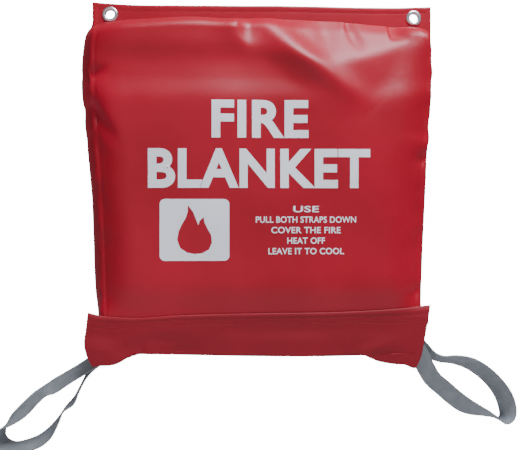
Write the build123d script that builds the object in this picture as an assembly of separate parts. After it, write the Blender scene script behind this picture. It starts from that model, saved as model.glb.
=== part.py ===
from build123d import *
import math
import os

os.makedirs("parts", exist_ok=True)

# A wall-hung fire blanket: a red tarpaulin pouch with a folded glass-cloth blanket inside.
# Millimetres. X runs from left to right, the front faces -Y and Z is up.
# The origin is halfway between the two eyelets, in the plane of the wall.

# Sheet materials
SHEET = 1.2                     # one hemmed layer of tarpaulin
WEBBING = 2.0                   # thickness of the strap webbing
WEBBING_WIDTH = 25.0
TAPE = 1.0                      # each half of the hook-and-loop tape
THREAD = 0.6                    # width of a line of stitches
THREAD_PROUD = 0.4              # how far the stitches stand off their sheet

# Header, the strip that the eyelets are set in
EYELET_SPACING = 425.0
HEADER_HALF_WIDTH = 238.0
HEADER_TOP = 17.0
HEADER_SET_FORWARD = 1.4        # keeps the washers clear of the wall

# Pouch
POUCH_TOP = -11.0
POUCH_BOTTOM = -462.0
POUCH_DEPTH = 50.0
SHOULDER_HALF_WIDTH = 249.0
SHOULDER_Z = -90.0
SHOULDER_RADIUS = 300.0
MOUTH_HALF_WIDTH = 222.0
CORNER_RADIUS = 14.0
RETURN_LOW = -36.0              # the front panel turns back to the header above this height
GUSSET_BOTTOM = -452.0
SEAM_ALLOWANCE = 10.0
SEAM_INSET = 6.0                # from an edge to its line of stitches

# Closure flap
FOLD_Z = -471.0
FLAP_TOP = -406.0
FLAP_HALF_WIDTH = 236.0
WEB_HALF_WIDTH = 196.0          # the corners beside the web stay open for the straps
FOLD_GAP = 1.2                  # from a fold's axis to the sheet on each side of it
TAPE_HEIGHT = 20.0
TAPE_TOP = -410.0
TAPE_HALF_WIDTH = 230.0

# Folded blanket
LAYERS = 10
LAYER_THICKNESS = 2.4
LAYER_PITCH = 3.5
STACK_BACK = -9.0
STACK_TOP = -96.0
STACK_BOTTOM = -438.0
STACK_HALF_WIDTH = 200.0
PATCH_SIZE = 70.0

# Pull straps
STRAP_EXIT_X = 225.0
STRAP_EXIT_Z = -480.0
STRAP_EXIT_Y = -25.0
TAIL_LENGTH = 62.0              # the stretch that is sewn to the blanket's corner
TWIST_LENGTH = 46.0             # the free stretch that turns on edge before the exit
TWIST_STEPS = 6
LOOP_LENGTH = 165.0
LOOP_END_RADIUS = 27.0
LOOP_NECK_RADIUS = 3.0
NECK_CLEARANCE = 0.6
TAIL_DROP = 45.0                # degrees below horizontal, like the next two
LEFT_LOOP_DROP = 42.0
RIGHT_LOOP_DROP = 33.0

BACK_Y = 0.0
BACK_INNER_Y = BACK_Y - SHEET
FRONT_Y = -POUCH_DEPTH
FRONT_INNER_Y = FRONT_Y + SHEET
HEADER_BACK_Y = -HEADER_SET_FORWARD
HEADER_MID_Y = HEADER_BACK_Y - SHEET
HEADER_FRONT_Y = HEADER_MID_Y - SHEET
STACK_FRONT = STACK_BACK - LAYER_THICKNESS - (LAYERS - 1) * LAYER_PITCH
FLAP_INNER_Y = FRONT_Y - 2 * TAPE
FRONT_FOLD_Y = FLAP_INNER_Y - SHEET / 2
BACK_FOLD_Y = BACK_Y - SHEET / 2


def save(shape, name):
    """Write one piece to its own STEP file."""
    export_step(shape, "parts/" + name + ".step")


def block(x_range, y_range, z_range):
    """A box given by its low and high limits on each axis."""
    size = [high - low for low, high in (x_range, y_range, z_range)]
    middle = [(high + low) / 2 for low, high in (x_range, y_range, z_range)]
    return Pos(*middle) * Box(*size)


def plate(face, y_low, y_high):
    """A face drawn as front view (X, Z) made into a plate between two Y planes."""
    standing = Pos(0, y_high, 0) * Rot(90, 0, 0) * face
    return extrude(standing, y_high - y_low, dir=(0, -1, 0))


def pouch_outline():
    """Front view of the pouch, wider at the shoulders than at the mouth."""
    right_side = [
        (HEADER_HALF_WIDTH, POUCH_TOP),
        (SHOULDER_HALF_WIDTH, SHOULDER_Z),
        (MOUTH_HALF_WIDTH, POUCH_BOTTOM),
    ]
    left_side = [(-x, z) for x, z in reversed(right_side)]
    face = make_face(Polyline(*right_side, *left_side, close=True))
    face = fillet(face.vertices().group_by(Axis.Y)[1], SHOULDER_RADIUS)
    return fillet(face.vertices().group_by(Axis.Y)[-1], CORNER_RADIUS)


def stitch_line(face, distance):
    """A closed ring of thread, drawn a given distance inside a face's edge."""
    outer = offset(face, -distance)
    inner = offset(face, -distance - THREAD)
    return outer - inner


def rectangle(half_width, z_low, z_high):
    """A front-view rectangle centred on X = 0."""
    return Pos(0, (z_low + z_high) / 2) * Rectangle(2 * half_width, z_high - z_low)


# Pouch shell

OUTLINE = pouch_outline()
INSET = offset(OUTLINE, -SHEET)
BARREL_RADIUS = 7.0
FLANGE_RADIUS = 11.0
EYELET_PLACES = {"left": -EYELET_SPACING / 2, "right": EYELET_SPACING / 2}


def across(radius, x, y_low, y_high):
    """A round rod along Y, centred on an eyelet."""
    rod = Rot(90, 0, 0) * Cylinder(radius, y_high - y_low)
    return Pos(x, (y_low + y_high) / 2, 0) * rod


def without_eyelets(shape, radius):
    """Clear a round space at both eyelets."""
    for x in EYELET_PLACES.values():
        shape = shape - across(radius, x, HEADER_FRONT_Y - 5, BACK_Y + 5)
    return shape


def back_panel():
    """Rear wall of the pouch, stepped forward at the top to form the header's rear layer."""
    wall = plate(OUTLINE, BACK_INNER_Y, BACK_Y)
    x_range = (-HEADER_HALF_WIDTH, HEADER_HALF_WIDTH)
    header = block(x_range, (HEADER_MID_Y, HEADER_BACK_Y), (POUCH_TOP, HEADER_TOP))
    step = block(x_range, (HEADER_MID_Y, BACK_Y), (POUCH_TOP, POUCH_TOP + 3))
    corner_fill = block(x_range, (BACK_INNER_Y, BACK_Y), (POUCH_TOP - CORNER_RADIUS, POUCH_TOP))
    panel = without_eyelets(wall + corner_fill + header + step, BARREL_RADIUS)
    for x in EYELET_PLACES.values():
        panel = panel - across(FLANGE_RADIUS + 0.3, x, HEADER_BACK_Y, BACK_Y)
    return panel


def header_band():
    """Front layer of the header, a doubled strip sewn along all its edges."""
    x_range = (-HEADER_HALF_WIDTH, HEADER_HALF_WIDTH)
    band = block(x_range, (HEADER_FRONT_Y, HEADER_MID_Y), (POUCH_TOP, HEADER_TOP))
    return without_eyelets(band, BARREL_RADIUS)


def wall_ring():
    """All the pouch's edge walls in one, with the seam allowance turned in along the rear panel."""
    wall = plate(OUTLINE - INSET, FRONT_INNER_Y, BACK_INNER_Y)
    allowance_face = INSET - offset(OUTLINE, -SEAM_ALLOWANCE)
    allowance = plate(allowance_face, BACK_INNER_Y - SHEET, BACK_INNER_Y)
    return wall + allowance


def front_panel():
    """Front of the pouch, whose upper edge turns back over the blanket to the header."""
    half = HEADER_HALF_WIDTH - CORNER_RADIUS
    over_the_top = block((-half, half), (FRONT_Y, BACK_Y), (RETURN_LOW, POUCH_TOP))
    return plate(OUTLINE, FRONT_Y, FRONT_INNER_Y) + (wall_ring() & over_the_top)


def gusset(side):
    """One side wall, which runs round the upper corner to meet the front panel's return."""
    corner = HEADER_HALF_WIDTH - CORNER_RADIUS
    far = SHOULDER_HALF_WIDTH + 1
    beside = block(sorted((0, side * far)), (FRONT_Y, BACK_Y), (GUSSET_BOTTOM, RETURN_LOW))
    above = block(sorted((side * corner, side * far)), (FRONT_Y, BACK_Y), (RETURN_LOW, POUCH_TOP))
    return wall_ring() & (beside + above)


def eyelet(x):
    """Plated steel eyelet: a domed flange in front, a barrel and a rolled lip behind."""
    hole = 6.0
    washer_back = HEADER_BACK_Y + 0.6
    lip_back = BACK_Y - 0.3
    wall_front = HEADER_FRONT_Y - 0.8
    crown = HEADER_FRONT_Y - 2.1
    edges = Curve() + [
        Line((hole, lip_back), (hole, wall_front)),
        ThreePointArc((hole, wall_front), (8.3, crown), (FLANGE_RADIUS, HEADER_FRONT_Y)),
        Line((FLANGE_RADIUS, HEADER_FRONT_Y), (BARREL_RADIUS, HEADER_FRONT_Y)),
        Line((BARREL_RADIUS, HEADER_FRONT_Y), (BARREL_RADIUS, washer_back)),
        Line((BARREL_RADIUS, washer_back), (8.6, washer_back)),
        Line((8.6, washer_back), (8.6, lip_back)),
        Line((8.6, lip_back), (hole, lip_back)),
    ]
    return Pos(x, 0, 0) * revolve(make_face(edges), Axis.Y)


def eyelet_washer(x):
    """Flat ring that the eyelet's lip is rolled over, behind the header."""
    y_range = (HEADER_BACK_Y, HEADER_BACK_Y + 0.6)
    return across(FLANGE_RADIUS, x, *y_range) - across(BARREL_RADIUS, x, *y_range)


def header_stitching():
    """Stitches round the header, interrupted by the eyelets' flanges."""
    face = rectangle(HEADER_HALF_WIDTH, POUCH_TOP, HEADER_TOP)
    ring = plate(stitch_line(face, SEAM_INSET), HEADER_FRONT_Y - THREAD_PROUD, HEADER_FRONT_Y)
    return without_eyelets(ring, FLANGE_RADIUS + 0.5)


def front_stitching():
    """Stitches that join the front panel to the side gussets, carried across the top."""
    ring = plate(stitch_line(OUTLINE, SEAM_INSET), FRONT_Y - THREAD_PROUD, FRONT_Y)
    above_tape = block((-300, 300), (FRONT_Y - 5, BACK_Y), (TAPE_TOP + 2, HEADER_TOP))
    return ring & above_tape


def tape_stitching(y_low, y_high):
    """Two lines of stitches that hold a tape to its sheet, near the tape's long edges."""
    x_range = (-TAPE_HALF_WIDTH + 10, TAPE_HALF_WIDTH - 10)
    upper = TAPE_TOP - 4
    lower = TAPE_TOP - TAPE_HEIGHT + 4
    lines = [block(x_range, (y_low, y_high), (z - THREAD, z)) for z in (upper, lower)]
    return Compound(lines)


def hem_stitching():
    """Stitches along the hem at the front panel's lower edge."""
    x_range = (-MOUTH_HALF_WIDTH + SEAM_INSET, MOUTH_HALF_WIDTH - SEAM_INSET)
    z_low = POUCH_BOTTOM + SEAM_ALLOWANCE
    return block(x_range, (FRONT_Y - THREAD_PROUD, FRONT_Y), (z_low, z_low + THREAD))


save(back_panel(), "back_panel")
save(front_panel(), "front_panel")
save(gusset(-1), "left_gusset")
save(gusset(1), "right_gusset")
save(header_band(), "header_band")
save(header_stitching(), "header_stitching")
save(front_stitching(), "front_seam_stitching")
save(hem_stitching(), "front_hem_stitching")
save(tape_stitching(FRONT_INNER_Y, FRONT_INNER_Y + THREAD_PROUD), "loop_tape_stitching")
for side, place in EYELET_PLACES.items():
    save(eyelet(place), side + "_eyelet")
    save(eyelet_washer(place), side + "_eyelet_washer")


# Closure flap: the web passes under the mouth and the flap stands up over the front panel.

def tape_strip(y_low, y_high):
    """One half of the hook-and-loop closure, a long flat tape."""
    x_range = (-TAPE_HALF_WIDTH, TAPE_HALF_WIDTH)
    return block(x_range, (y_low, y_high), (TAPE_TOP - TAPE_HEIGHT, TAPE_TOP))


web_y = (FRONT_FOLD_Y + FOLD_GAP, BACK_FOLD_Y - FOLD_GAP)
web_z = (FOLD_Z - SHEET / 2, FOLD_Z + SHEET / 2)
flap_y = (FLAP_INNER_Y - SHEET, FLAP_INNER_Y)
flap_z = (FOLD_Z + FOLD_GAP, FLAP_TOP)
save(tape_strip(FRONT_Y - TAPE, FRONT_Y), "loop_tape")
save(tape_strip(FLAP_INNER_Y, FLAP_INNER_Y + TAPE), "hook_tape")
save(block((-WEB_HALF_WIDTH, WEB_HALF_WIDTH), web_y, web_z), "flap_web")
save(block((-FLAP_HALF_WIDTH, FLAP_HALF_WIDTH), flap_y, flap_z), "closure_flap")
flap_thread_y = (flap_y[0] - THREAD_PROUD, flap_y[0])
save(tape_stitching(*flap_thread_y), "flap_stitching")


# Blanket: one sheet of coated glass cloth, folded to and fro into a flat stack.

def folded_blanket():
    """The stack, drawn from the side as one continuous sheet and pulled out to its width."""
    bend_radius = (LAYER_PITCH + LAYER_THICKNESS) / 2
    top = STACK_TOP - bend_radius
    bottom = STACK_BOTTOM + bend_radius
    middles = [STACK_BACK - LAYER_THICKNESS / 2 - i * LAYER_PITCH for i in range(LAYERS)]
    profile = Sketch()
    for y in middles:
        profile += Pos(y, (top + bottom) / 2) * Rectangle(LAYER_THICKNESS, top - bottom)
    bend = Circle(bend_radius) - Circle(bend_radius - LAYER_THICKNESS)
    for i in range(LAYERS - 1):
        y = (middles[i] + middles[i + 1]) / 2
        at_top = i % 2 == 0
        keep_z = bend_radius / 2 if at_top else -bend_radius / 2
        half = bend & Pos(0, keep_z) * Rectangle(3 * bend_radius, bend_radius)
        profile += Pos(y, top if at_top else bottom) * half
    side_view = Plane(origin=(-STACK_HALF_WIDTH, 0, 0), x_dir=(0, 1, 0), z_dir=(1, 0, 0))
    return extrude(side_view * profile, 2 * STACK_HALF_WIDTH)


def corner_patch(side):
    """Square of doubled cloth that spreads the strap's pull at a lower corner."""
    inner = STACK_HALF_WIDTH - PATCH_SIZE
    x_range = sorted((side * inner, side * STACK_HALF_WIDTH))
    z_low = STACK_BOTTOM + 3
    return block(x_range, (STACK_FRONT - SHEET, STACK_FRONT), (z_low, z_low + PATCH_SIZE))


def strap_frame(side, drop, distance, turn, y):
    """Plane across the strap, at a distance from the exit back along the loop's line."""
    angle = math.radians(drop)
    along = Vector(side * math.cos(angle), 0, -math.sin(angle))
    across_strap = Vector(0, -1, 0).cross(along)
    tilt = math.radians(turn)
    width_way = across_strap * math.cos(tilt) + Vector(0, 1, 0) * math.sin(tilt)
    origin = Vector(side * STRAP_EXIT_X, y, STRAP_EXIT_Z) - along * distance
    return Plane(origin=origin, x_dir=width_way, z_dir=along)


def strap_tail(side):
    """Strap end: flat on the corner patch, then turning on edge as it runs to the exit."""
    sewn_y = STACK_FRONT - SHEET - WEBBING / 2
    exit_gap = LOOP_NECK_RADIUS + NECK_CLEARANCE
    section = Rectangle(WEBBING_WIDTH, WEBBING)
    start = exit_gap + TWIST_LENGTH
    sewn = extrude(
        strap_frame(side, TAIL_DROP, start + TAIL_LENGTH, 0, sewn_y) * section,
        TAIL_LENGTH,
    )
    sections = []
    for step in range(TWIST_STEPS + 1):
        part_way = step / TWIST_STEPS
        ease = part_way * part_way * (3 - 2 * part_way)
        y = sewn_y + (STRAP_EXIT_Y - sewn_y) * ease
        distance = start - TWIST_LENGTH * part_way
        sections.append(strap_frame(side, TAIL_DROP, distance, 90 * ease, y) * section)
    return sewn + loft(sections, ruled=True)


def box_stitching(side):
    """Square of stitches through the strap's sewn end."""
    start = LOOP_NECK_RADIUS + NECK_CLEARANCE + TWIST_LENGTH
    y = STACK_FRONT - SHEET - WEBBING
    frame = strap_frame(side, TAIL_DROP, start + TAIL_LENGTH / 2 + 4, 0, y)
    face_plane = Plane(origin=frame.origin, x_dir=frame.x_dir, z_dir=(0, -1, 0))
    length = TAIL_LENGTH - 20
    width = WEBBING_WIDTH - 6
    ring = Rectangle(width, length) - Rectangle(width - 2 * THREAD, length - 2 * THREAD)
    return extrude(face_plane * ring, THREAD_PROUD)


SIDES = {"left": -1, "right": 1}
save(folded_blanket(), "folded_blanket")
for name, side in SIDES.items():
    save(corner_patch(side), name + "_corner_patch")
    save(strap_tail(side), name + "_strap_tail")
    save(box_stitching(side), name + "_strap_stitching")


# Hand loops: each is a closed band of webbing that hangs from the strap's exit.

def band_outline(neck_radius, end_radius):
    """A teardrop along X: two circles and the straight lines that touch both."""
    end = Pos(LOOP_LENGTH - LOOP_END_RADIUS, 0) * Circle(end_radius)
    return make_hull((Circle(neck_radius) + end).edges())


def hand_loop(side, drop):
    """The band, with the webbing's width lying front to back."""
    outer = band_outline(LOOP_NECK_RADIUS, LOOP_END_RADIUS)
    inner = band_outline(LOOP_NECK_RADIUS - WEBBING, LOOP_END_RADIUS - WEBBING)
    turn = -drop if side > 0 else 180 + drop
    face = Pos(side * STRAP_EXIT_X, STRAP_EXIT_Z) * Rot(0, 0, turn) * (outer - inner)
    half = WEBBING_WIDTH / 2
    return plate(face, STRAP_EXIT_Y - half, STRAP_EXIT_Y + half)


save(hand_loop(-1, LEFT_LOOP_DROP), "left_hand_loop")
save(hand_loop(1, RIGHT_LOOP_DROP), "right_hand_loop")
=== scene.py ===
import math

import bpy
import numpy as np
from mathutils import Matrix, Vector


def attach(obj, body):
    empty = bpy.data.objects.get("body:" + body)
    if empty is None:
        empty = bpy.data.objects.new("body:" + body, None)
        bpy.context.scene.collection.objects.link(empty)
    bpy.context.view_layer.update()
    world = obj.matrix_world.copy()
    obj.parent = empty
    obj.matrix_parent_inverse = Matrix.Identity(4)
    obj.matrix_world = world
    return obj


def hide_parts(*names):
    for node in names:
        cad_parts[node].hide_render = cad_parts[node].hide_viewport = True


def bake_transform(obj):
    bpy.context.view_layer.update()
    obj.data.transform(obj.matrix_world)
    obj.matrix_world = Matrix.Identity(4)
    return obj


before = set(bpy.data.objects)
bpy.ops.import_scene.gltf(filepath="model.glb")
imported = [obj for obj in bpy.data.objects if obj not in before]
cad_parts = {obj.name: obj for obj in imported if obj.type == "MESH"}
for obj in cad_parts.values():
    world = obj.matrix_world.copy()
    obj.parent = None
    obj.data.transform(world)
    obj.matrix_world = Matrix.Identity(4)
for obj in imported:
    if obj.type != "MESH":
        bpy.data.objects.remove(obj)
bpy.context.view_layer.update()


# ---------------------------------------------------------------------------
# Studio: a pale floor and a white surround, well behind and below the hanging pouch,
# a large soft light from the upper right, a weak one from the left, and a camera in front.

FLOOR_Z = -0.95
TARGET = Vector((-0.0024, 0.0, -0.292))
CAMERA_DISTANCE = 1.02
CAMERA_YAW = math.radians(2.5)
SEEN_WHITE = 16.0         # brightness of the surround where the camera looks straight at it


def add_node(tree, kind, place, **values):
    """A shader node with some of its inputs or settings given by name."""
    node = tree.nodes.new(kind)
    node.location = place
    for key, value in values.items():
        if key in node.inputs:
            node.inputs[key].default_value = value
        else:
            setattr(node, key, value)
    return node


def wire(tree, *wires):
    """Join sockets, each wire given as (from node, its output, to node, its input)."""
    for giver, output, taker, socket in wires:
        tree.links.new(giver.outputs[output], taker.inputs[socket])


def new_material(name, **values):
    """A material with its node tree and its shader, some of whose inputs are given."""
    material = bpy.data.materials.new(name)
    material.use_nodes = True
    shader = material.node_tree.nodes["Principled BSDF"]
    for key, value in values.items():
        shader.inputs[key.replace("_", " ")].default_value = value
    return material, material.node_tree, shader


bpy.ops.object.select_all(action="DESELECT")
bpy.ops.mesh.primitive_plane_add(size=40, location=(0, 0, FLOOR_Z))
floor = bpy.context.object
floor.name = "floor"
floor_material, floor_tree, floor_shader = new_material(
    "pale_floor", Base_Color=(0.93, 0.93, 0.93, 1), Roughness=0.9)
floor_grain = add_node(floor_tree, "ShaderNodeTexNoise", (-500, -200), Scale=60.0)
floor_bump = add_node(floor_tree, "ShaderNodeBump", (-250, -200), Strength=0.05)
floor_glow = add_node(floor_tree, "ShaderNodeEmission", (0, -300), Strength=SEEN_WHITE)
floor_path = add_node(floor_tree, "ShaderNodeLightPath", (0, 400))
floor_mix = add_node(floor_tree, "ShaderNodeMixShader", (300, 200))
wire(floor_tree, (floor_grain, "Fac", floor_bump, "Height"), (floor_bump, "Normal", floor_shader, "Normal"),
     (floor_path, "Is Camera Ray", floor_mix, 0), (floor_shader, 0, floor_mix, 1),
     (floor_glow, 0, floor_mix, 2), (floor_mix, 0, floor_tree.nodes["Material Output"], "Surface"))
floor.data.materials.append(floor_material)

world = bpy.data.worlds.new("studio")
world.use_nodes = True
world_tree = world.node_tree
world_light = world_tree.nodes["Background"]
world_light.inputs["Color"].default_value = (0.93, 0.96, 1, 1)
world_light.inputs["Strength"].default_value = 0.24
world_seen = add_node(world_tree, "ShaderNodeBackground", (0, -200), Strength=SEEN_WHITE)
world_seen.inputs["Color"].default_value = (1, 1, 1, 1)
world_path = add_node(world_tree, "ShaderNodeLightPath", (0, 400))
world_mix = add_node(world_tree, "ShaderNodeMixShader", (200, 100))
wire(world_tree, (world_path, "Is Camera Ray", world_mix, 0), (world_light, 0, world_mix, 1),
     (world_seen, 0, world_mix, 2), (world_mix, 0, world_tree.nodes["World Output"], "Surface"))
bpy.context.scene.world = world

back_off = Vector((-math.sin(CAMERA_YAW), -math.cos(CAMERA_YAW), 0)) * CAMERA_DISTANCE
bpy.ops.object.camera_add(location=TARGET + back_off)
camera = bpy.context.object
camera.rotation_euler = (TARGET - camera.location).to_track_quat("-Z", "Y").to_euler()
camera.data.lens = 50
camera.data.sensor_width = 36
bpy.context.scene.camera = camera


def soft_light(name, place, size, power, colour):
    """A square area light that faces the middle of the pouch."""
    bpy.ops.object.light_add(type="AREA", location=place)
    lamp = bpy.context.object
    lamp.name = name
    lamp.data.size = size
    lamp.data.energy = power
    lamp.data.color = colour
    lamp.rotation_euler = (TARGET - lamp.location).to_track_quat("-Z", "Y").to_euler()


soft_light("key_light", Vector((0.42, -0.62, 1.22)), 0.8, 50, (0.90, 0.93, 1.0))
soft_light("fill_light", Vector((-0.5, -2.0, -0.2)), 1.6, 4, (1.0, 0.97, 0.94))


# ---------------------------------------------------------------------------
# Back panel: red tarpaulin, which is polyester cloth with a smooth, half-glossy plastic
# coating. It lies flat against the wall and steps forward at the top into the header,
# where both eyelets are punched through it.

def coated_cloth_group():
    """Masks and a normal shared by every coated or printed surface of the pouch."""
    group = bpy.data.node_groups.new("coated_cloth", "ShaderNodeTree")
    for name, way, kind in (("Grain Size", "INPUT", "Float"), ("Grain Depth", "INPUT", "Float"),
                            ("Patches", "OUTPUT", "Float"), ("Specks", "OUTPUT", "Float"),
                            ("Normal", "OUTPUT", "Vector")):
        group.interface.new_socket(name, in_out=way, socket_type="NodeSocket" + kind)
    entry = group.nodes.new("NodeGroupInput")
    leave = group.nodes.new("NodeGroupOutput")
    place = group.nodes.new("ShaderNodeTexCoord")
    patches = add_node(group, "ShaderNodeTexNoise", (-600, 300), Scale=9.0, Detail=4.0)
    specks = add_node(group, "ShaderNodeTexNoise", (-600, 0), Scale=420.0, Detail=3.0)
    fine = add_node(group, "ShaderNodeTexNoise", (-600, -300), Detail=2.0)
    wave_x = add_node(group, "ShaderNodeTexWave", (-600, -500), bands_direction="X")
    wave_z = add_node(group, "ShaderNodeTexWave", (-600, -700), bands_direction="Z")
    weave = add_node(group, "ShaderNodeMath", (-400, -600), operation="ADD")
    relief = add_node(group, "ShaderNodeMath", (-200, -500), operation="MULTIPLY_ADD")
    relief.inputs[1].default_value = 0.22
    bump = add_node(group, "ShaderNodeBump", (0, -300), Distance=0.0004)
    for texture in (patches, specks, fine, wave_x, wave_z):
        wire(group, (place, "Object", texture, "Vector"))
    for texture in (fine, wave_x, wave_z):
        wire(group, (entry, "Grain Size", texture, "Scale"))
    wire(group, (wave_x, "Fac", weave, 0), (wave_z, "Fac", weave, 1), (weave, 0, relief, 0),
         (fine, "Fac", relief, 2), (relief, 0, bump, "Height"), (entry, "Grain Depth", bump, "Strength"),
         (patches, "Fac", leave, "Patches"), (specks, "Fac", leave, "Specks"),
         (bump, "Normal", leave, "Normal"))
    return group


COATED_CLOTH = coated_cloth_group()
GRAIN_SIZE = 700.0       # scale of the textures that make the cloth's grain


def coated_surface(tree, depth):
    """The coated cloth's group placed in a material, with the depth of its grain."""
    surface = add_node(tree, "ShaderNodeGroup", (-700, 0), node_tree=COATED_CLOTH)
    surface.inputs["Grain Size"].default_value = GRAIN_SIZE
    surface.inputs["Grain Depth"].default_value = depth
    return surface


def two_tones(tree, place, dark, light):
    """A colour mix between a dark and a light tone; its result is output 2."""
    mix = add_node(tree, "ShaderNodeMix", place, data_type="RGBA")
    mix.inputs[6].default_value = (*dark, 1)
    mix.inputs[7].default_value = (*light, 1)
    return mix


def coated_material(name, dark, light, gloss, depth):
    """A coated cloth whose colour and roughness drift between two values."""
    material, tree, shader = new_material(name, Specular_IOR_Level=0.42)
    surface = coated_surface(tree, depth)
    colour = two_tones(tree, (-400, 200), dark, light)
    spread = add_node(tree, "ShaderNodeMapRange", (-550, 300))
    spread.inputs["From Min"].default_value = 0.35
    spread.inputs["From Max"].default_value = 0.68
    rough = add_node(tree, "ShaderNodeMapRange", (-400, -100))
    rough.inputs["To Min"].default_value = gloss - 0.05
    rough.inputs["To Max"].default_value = gloss + 0.08
    wire(tree, (surface, "Patches", spread, "Value"), (spread, "Result", colour, 0),
         (surface, "Specks", rough, "Value"), (rough, "Result", shader, "Roughness"),
         (colour, 2, shader, "Base Color"), (surface, "Normal", shader, "Normal"))
    return material


TARPAULIN = coated_material("red_tarpaulin", (0.36, 0.0002, 0.014), (0.43, 0.0004, 0.020), 0.38, 0.22)


def smooth_step(t):
    """0 to 1 with level ends."""
    t = np.clip(t, 0, 1)
    return t * t * (3 - 2 * t)


def curve_between(t, gap, low, sizes, slopes):
    """A cubic from station low to the next one, which leaves and arrives at their slopes."""
    start = (2 * t**3 - 3 * t**2 + 1) * sizes[low] + (t**3 - 2 * t**2 + t) * gap * slopes[low]
    return start + (3 * t**2 - 2 * t**3) * sizes[low + 1] + (t**3 - t**2) * gap * slopes[low + 1]


def through(value, stations):
    """A smooth line through listed (place, size) stations."""
    places, sizes = np.array(stations, float).T
    slopes = np.gradient(sizes, places)
    low = np.clip(np.searchsorted(places, value) - 1, 0, len(places) - 2)
    gap = places[low + 1] - places[low]
    return curve_between(np.clip((value - places[low]) / gap, 0, 1), gap, low, sizes, slopes)


def ripple(t, *waves):
    """A sum of sine waves, each given as (height, length, start)."""
    return sum(height * np.sin(2 * math.pi * t / length + start) for height, length, start in waves)


def select_only(piece):
    """Make one object the only selected and the active one."""
    bpy.ops.object.select_all(action="DESELECT")
    piece.select_set(True)
    bpy.context.view_layer.objects.active = piece


def shape_by_rule(piece, rule, columns=3):
    """Move a mesh's points to where the rule puts their coordinates, in millimetres."""
    flat = np.empty(3 * len(piece.data.vertices))
    piece.data.vertices.foreach_get("co", flat)
    flat = flat.reshape(-1, 3)
    placed = np.column_stack(rule(*flat[:, :columns].T)) / 1000
    piece.data.vertices.foreach_set("co", placed.ravel())
    piece.data.update()


def sheet_from_rule(name, columns, rows, rule):
    """A grid put in place by a rule of u and v, which both run from 0 to 1."""
    bpy.ops.object.select_all(action="DESELECT")
    bpy.ops.mesh.primitive_grid_add(x_subdivisions=columns, y_subdivisions=rows, size=1)
    sheet = bpy.context.object
    sheet.name = name
    shape_by_rule(sheet, lambda u, v: rule(u + 0.5, v + 0.5), 2)
    return sheet


def apply_modifier(piece, kind, **settings):
    """Add a modifier with these settings and apply it."""
    select_only(piece)
    bpy.ops.object.modifier_add(type=kind)
    for key, value in settings.items():
        setattr(piece.modifiers[-1], key, value)
    bpy.ops.object.modifier_apply(modifier=piece.modifiers[-1].name)


def turn_outward(piece, merged=False):
    """Make a closed mesh's normals point outwards, after merging doubled points if asked."""
    select_only(piece)
    bpy.ops.object.mode_set(mode="EDIT")
    bpy.ops.mesh.select_all(action="SELECT")
    if merged:
        bpy.ops.mesh.remove_doubles(threshold=0.00001)
    bpy.ops.mesh.normals_make_consistent(inside=False)
    bpy.ops.object.mode_set(mode="OBJECT")


def smooth_below(piece, degrees):
    """Smooth shading, except across edges sharper than this."""
    select_only(piece)
    bpy.ops.object.shade_smooth_by_angle(angle=math.radians(degrees))


def give_thickness(sheet, millimetres, offset=-1.0):
    """Turn a single surface into cloth of a real thickness, with smooth faces."""
    apply_modifier(sheet, "SOLIDIFY", thickness=millimetres / 1000, offset=offset)
    turn_outward(sheet)
    smooth_below(sheet, 50)


def dress(piece, material, slot, body, *nodes):
    """Give a finished piece its material, its body and the nodes that it stands for."""
    piece.data.materials.clear()
    piece.data.materials.append(material)
    if body:
        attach(piece, body)
    if nodes:
        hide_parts(*nodes)


def cut(piece, cutter, operation="DIFFERENCE", crossing=False):
    """A boolean with another closed mesh, which is used up and may cross itself."""
    apply_modifier(piece, "BOOLEAN", operation=operation, solver="EXACT", object=cutter, use_self=crossing)
    bpy.data.objects.remove(cutter)


LEAN = -3.0              # the filled pouch hangs this far left of its eyelets
HEADER_SIDE = 237.0
HEADER_STEP = -24.0      # where the back panel starts to step forward into the header
BACK_FOOT = -462.0
BACK_TOP = 14.0
BACK_SHEET = 0.8         # thickness, as for each sheet below
EYELET_X = 212.5
PUNCHED_RADIUS = 7.3
BACK_EDGES = [(-472, 222), (-378, 227), (-258, 231), (-160, 236), (-85, 241), (-45, 240), (-22, 238)]
HEADER_TOPS = [(-238, 17), (-205, 14.8), (-60, 14.4), (60, 15), (180, 14.2), (238, 16.4)]


def header_ripple(x, z):
    """The header's gentle waves, level where the eyelets clamp it."""
    clear = smooth_step((np.hypot(np.abs(x) - EYELET_X, z) - 13) / 30)
    return clear * (0.5 + ripple(x, (0.5, 143, 1.0), (0.25, 71, 0.3)))


def punch_eyelet_holes(sheet):
    """Cut the two round holes that the eyelets' barrels pass through."""
    for x in (-EYELET_X, EYELET_X):
        bpy.ops.object.select_all(action="DESELECT")
        bpy.ops.mesh.primitive_cylinder_add(
            vertices=48, radius=PUNCHED_RADIUS / 1000, depth=0.02, location=(x / 1000, 0, 0),
            rotation=(math.pi / 2, 0, 0))
        cut(sheet, bpy.context.object)
    smooth_below(sheet, 50)


def back_rule(u, v):
    """The rear sheet, from the foot up to the header's top edge."""
    side = 2 * u - 1
    z = BACK_FOOT + (BACK_TOP - BACK_FOOT) * v
    in_header = smooth_step((z - HEADER_STEP) / 12)
    middle = LEAN * (1 - in_header)
    x = middle + side * (through(z, BACK_EDGES) * (1 - in_header) + HEADER_SIDE * in_header)
    z = z + (through(x, HEADER_TOPS) - 14.4) * in_header
    depth = 1.0 + 1.35 * in_header
    return x, -depth, z


back_panel = sheet_from_rule("back_panel_sheet", 120, 120, back_rule)
give_thickness(back_panel, BACK_SHEET)
punch_eyelet_holes(back_panel)
dress(back_panel, TARPAULIN, "pouch_tarpaulin", "pouch", "back_panel")


# ---------------------------------------------------------------------------
# Header band: a doubled strip of the same tarpaulin, laid over the back panel's upper
# edge and sewn all round. Its hem stands up a little between the stitches and the edge.

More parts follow.
